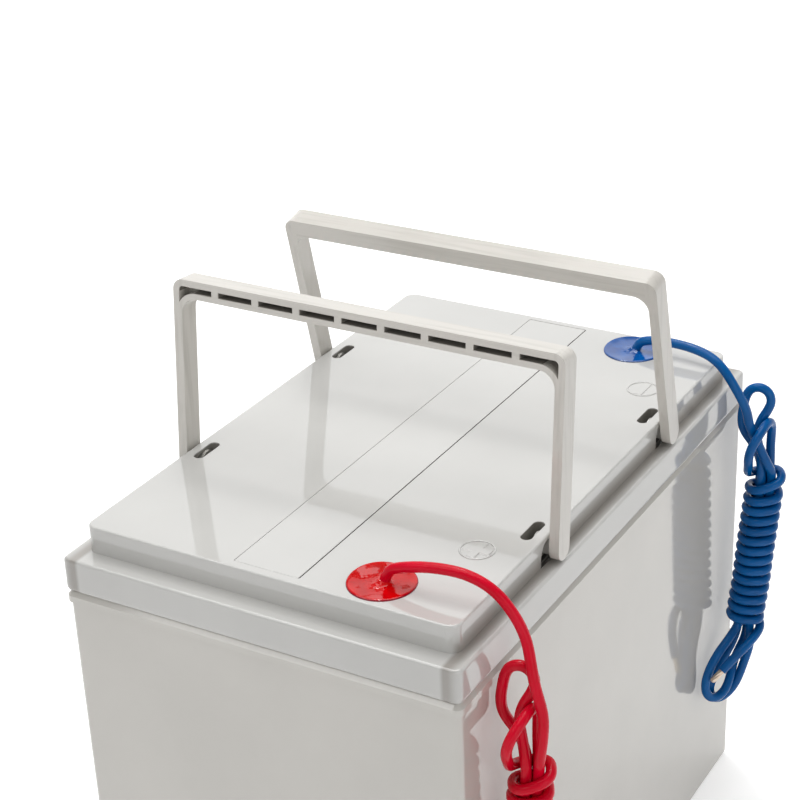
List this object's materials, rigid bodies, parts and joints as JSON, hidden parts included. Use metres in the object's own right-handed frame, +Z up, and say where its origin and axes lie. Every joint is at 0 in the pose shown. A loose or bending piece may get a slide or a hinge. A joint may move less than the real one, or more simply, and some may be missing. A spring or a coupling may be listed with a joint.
{
  "type": "deep cycle battery",
  "caption": "Sealed gel deep cycle battery in a pale grey case, with two folding bail handles and potted red and blue leads tied in hanks.",
  "frame": {"origin": "on the base, under the middle of the case", "axes": "+Z up, +Y along the length of the case from the red lead's end to the blue lead's, +X towards the side over which both leads hang"},
  "size_m": [0.1939, 0.2689, 0.2816],
  "materials": {
    "case_grey": "moulded ABS, glossy deck and satin sides",
    "handle_grey": "satin moulded ABS",
    "sealant": "cured epoxy",
    "valve_rubber": "matt black rubber",
    "lead_dark": "pasted lead plate, dark brown",
    "lead_metal": "dull cast lead",
    "separator_white": "porous sheet",
    "copper": "tinned copper",
    "red_resin": "wet-looking cast resin",
    "blue_resin": "wet-looking cast resin",
    "red_jacket": "smooth silicone jacket",
    "blue_jacket": "smooth silicone jacket"
  },
  "bodies": {
    "case": {"container": "case_grey", "lid": "case_grey", "vent_cover": "case_grey", "lid_sealant": "sealant", "relief_valves": "valve_rubber", "post_seals": "valve_rubber", "positive_plates": "lead_dark", "negative_plates": "lead_metal", "intercell_welds": "lead_metal", "positive_post": "lead_metal", "negative_post": "lead_metal", "separators": "separator_white", "positive_ferrule": "copper", "negative_ferrule": "copper", "red_potting": "red_resin", "blue_potting": "blue_resin", "red_lead": "red_jacket", "red_hank": "red_jacket", "blue_lead": "blue_jacket", "blue_hank": "blue_jacket"},
    "front_bail": {"front_handle": "handle_grey"},
    "rear_bail": {"rear_handle": "handle_grey"}
  },
  "joints": [
    {"name": "front_bail_hinge", "type": "hinge", "parent": "case", "child": "front_bail", "pos_m": [0, -0.05, 0.2057], "axis": [1, 0, 0], "range_deg": [-30, 70]},
    {"name": "rear_bail_hinge", "type": "hinge", "parent": "case", "child": "rear_bail", "pos_m": [0, 0.0516, 0.2057], "axis": [1, 0, 0], "range_deg": [-70, 23]}
  ]
}
